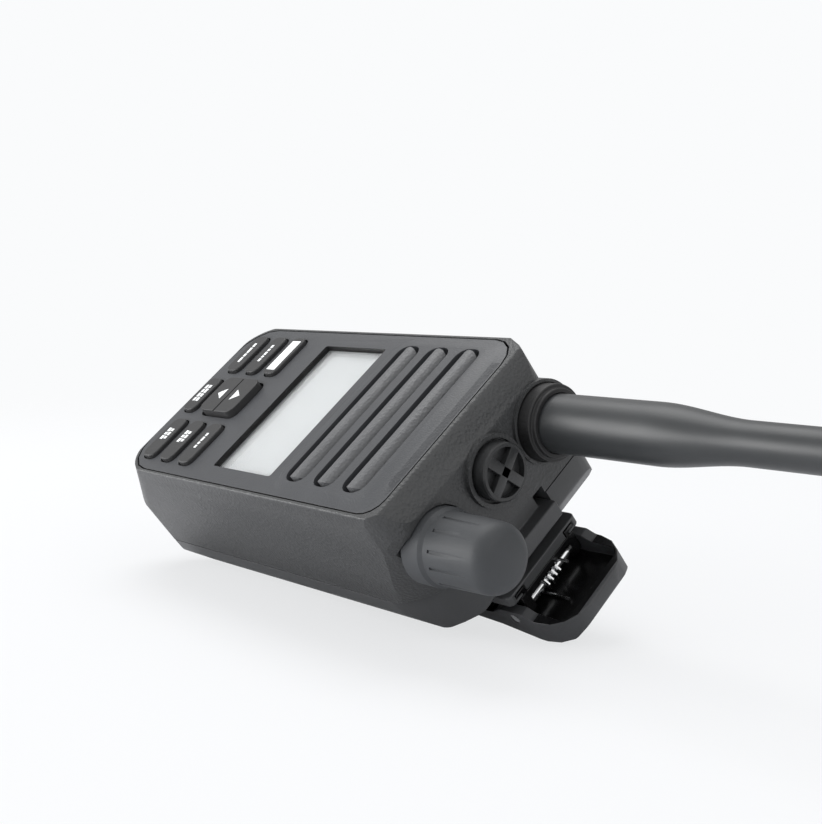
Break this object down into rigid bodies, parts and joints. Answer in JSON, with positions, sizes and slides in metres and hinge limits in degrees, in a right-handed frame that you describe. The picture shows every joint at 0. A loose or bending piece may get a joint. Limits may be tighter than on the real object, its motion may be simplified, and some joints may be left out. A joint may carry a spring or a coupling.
{
  "type": "handheld marine radio",
  "caption": "Handheld two-way marine radio with display, keypad, ribbed speaker, screw-on antenna, volume knob, jack cap, battery pack and sprung belt clip.",
  "frame": {"origin": "middle of the flat face at the base end", "axes": "+X to the radio's right seen from the front, +Y from the base to the antenna, +Z out of the front"},
  "size_m": [0.0597, 0.2802, 0.0545],
  "materials": {
    "case_plastic": "fine-grained moulded texture",
    "panel_plastic": "fine-grained moulded texture",
    "battery_plastic": "smooth satin",
    "window": "clear gloss",
    "lcd": "grey-green reflective display",
    "board": "solder mask",
    "key_rubber": "matte silicone",
    "seal_rubber": "smooth",
    "antenna_rubber": "smooth satin",
    "cap_rubber": "satin",
    "knob_plastic": "satin",
    "inner_plastic": "satin",
    "clip_plastic": "polished",
    "steel_part": "plain",
    "spring_steel": "bright drawn wire",
    "can": "tin plated",
    "chassis_metal": "as cast",
    "brass_part": "machined",
    "cell_wrap": "shrink wrap"
  },
  "bodies": {
    "radio": {"front_case": "case_plastic", "front_panel": "panel_plastic", "lcd_window": "window", "lcd_module": "lcd", "keypad_board": "board", "keypad_mat": "key_rubber", "speaker_grille": "panel_plastic", "speaker_membrane": "seal_rubber", "speaker": "steel_part", "microphone": "steel_part", "main_board": "board", "shield_can": "can", "chassis": "chassis_metal", "case_seal": "seal_rubber", "rear_cover": "case_plastic", "case_screws": "steel_part", "antenna_connector": "brass_part", "jack_socket": "inner_plastic", "volume_encoder": "steel_part", "knob_seal": "seal_rubber", "ptt_switch": "inner_plastic"},
    "left_key_top": {"left_key_top": "key_rubber"},
    "left_key_middle": {"left_key_middle": "key_rubber"},
    "left_key_bottom": {"left_key_bottom": "key_rubber"},
    "right_key_top": {"right_key_top": "key_rubber"},
    "right_key_middle": {"right_key_middle": "key_rubber"},
    "right_key_bottom": {"right_key_bottom": "key_rubber"},
    "centre_key": {"centre_key": "key_rubber"},
    "rocker_key": {"rocker_key": "key_rubber"},
    "antenna_seal": {"antenna_seal": "seal_rubber"},
    "antenna": {"antenna_ferrule": "brass_part", "antenna_whip": "antenna_rubber"},
    "jack_cap": {"jack_cap": "cap_rubber"},
    "jack_cap_seal": {"jack_cap_seal": "seal_rubber"},
    "volume_knob": {"knob_shaft": "steel_part", "volume_knob": "knob_plastic"},
    "ptt_button": {"ptt_button": "key_rubber"},
    "battery": {"battery_shell": "battery_plastic", "battery_lid": "inner_plastic", "battery_cells": "cell_wrap", "battery_contacts": "brass_part", "latch_spring": "spring_steel", "clip_rail": "battery_plastic", "clip_bracket": "clip_plastic", "bracket_screw": "steel_part", "clip_pin": "spring_steel", "clip_spring": "spring_steel"},
    "battery_latch": {"battery_latch": "clip_plastic"},
    "clip_lever": {"clip_lever": "clip_plastic"}
  },
  "joints": [
    {"name": "left_key_top_press", "type": "slide", "parent": "radio", "child": "left_key_top", "axis": [0, 0, -1], "range_m": [0, 0.0006], "stiffness_N_per_m": 1500, "springref_m": -0.0004},
    {"name": "left_key_middle_press", "type": "slide", "parent": "radio", "child": "left_key_middle", "axis": [0, 0, -1], "range_m": [0, 0.0006], "stiffness_N_per_m": 1500, "springref_m": -0.0004},
    {"name": "left_key_bottom_press", "type": "slide", "parent": "radio", "child": "left_key_bottom", "axis": [0, 0, -1], "range_m": [0, 0.0006], "stiffness_N_per_m": 1500, "springref_m": -0.0004},
    {"name": "right_key_top_press", "type": "slide", "parent": "radio", "child": "right_key_top", "axis": [0, 0, -1], "range_m": [0, 0.0006], "stiffness_N_per_m": 1500, "springref_m": -0.0004},
    {"name": "right_key_middle_press", "type": "slide", "parent": "radio", "child": "right_key_middle", "axis": [0, 0, -1], "range_m": [0, 0.0006], "stiffness_N_per_m": 1500, "springref_m": -0.0004},
    {"name": "right_key_bottom_press", "type": "slide", "parent": "radio", "child": "right_key_bottom", "axis": [0, 0, -1], "range_m": [0, 0.0006], "stiffness_N_per_m": 1500, "springref_m": -0.0004},
    {"name": "centre_key_press", "type": "slide", "parent": "radio", "child": "centre_key", "axis": [0, 0, -1], "range_m": [0, 0.0006], "stiffness_N_per_m": 1500, "springref_m": -0.0004},
    {"name": "rocker_tilt", "type": "hinge", "parent": "radio", "child": "rocker_key", "pos_m": [0, 0.0312, 0.0154], "axis": [1, 0, 0], "range_deg": [-3, 3], "stiffness_Nm_per_rad": 0.08},
    {"name": "ptt_press", "type": "slide", "parent": "radio", "child": "ptt_button", "axis": [1, 0, 0], "range_m": [0, 0.001], "stiffness_N_per_m": 2500, "springref_m": -0.0006},
    {"name": "volume_turn", "type": "hinge", "parent": "radio", "child": "volume_knob", "pos_m": [0.0194, 0.1196, 0.0016], "axis": [0, 1, 0], "range_deg": [0, 280]},
    {"name": "antenna_rise", "type": "slide", "parent": "radio", "child": "antenna_seal", "axis": [0, 1, 0], "range_m": [0, 0.006]},
    {"name": "antenna_unscrew", "type": "hinge", "parent": "antenna_seal", "child": "antenna", "pos_m": [-0.019, 0.1196, 0.0016], "axis": [0, 1, 0], "range_deg": [0, 2160]},
    {"name": "cap_rise", "type": "slide", "parent": "radio", "child": "jack_cap_seal", "axis": [0, 1, 0], "range_m": [0, 0.006]},
    {"name": "cap_unscrew", "type": "hinge", "parent": "jack_cap_seal", "child": "jack_cap", "pos_m": [-0.001, 0.1196, 0.004], "axis": [0, 1, 0], "range_deg": [0, 1440]},
    {"name": "battery_off", "type": "slide", "parent": "radio", "child": "battery", "axis": [0, 0, -1], "range_m": [0, 0.015]},
    {"name": "latch_draw", "type": "slide", "parent": "battery", "child": "battery_latch", "axis": [0, 0, -1], "range_m": [0, 0.002], "stiffness_N_per_m": 900, "springref_m": -0.001, "deforming": ["latch_spring"]},
    {"name": "clip_open", "type": "hinge", "parent": "battery", "child": "clip_lever", "pos_m": [0, 0.117, -0.029], "axis": [1, 0, 0], "range_deg": [0, 12], "stiffness_Nm_per_rad": 0.35, "springref_deg": -14.32, "deforming": ["clip_spring"]}
  ],
  "couplings": [
    {"joint": "antenna_unscrew", "follows": "antenna_rise", "rad_per_m": 6283.2},
    {"joint": "cap_unscrew", "follows": "cap_rise", "rad_per_m": 4188.8}
  ]
}
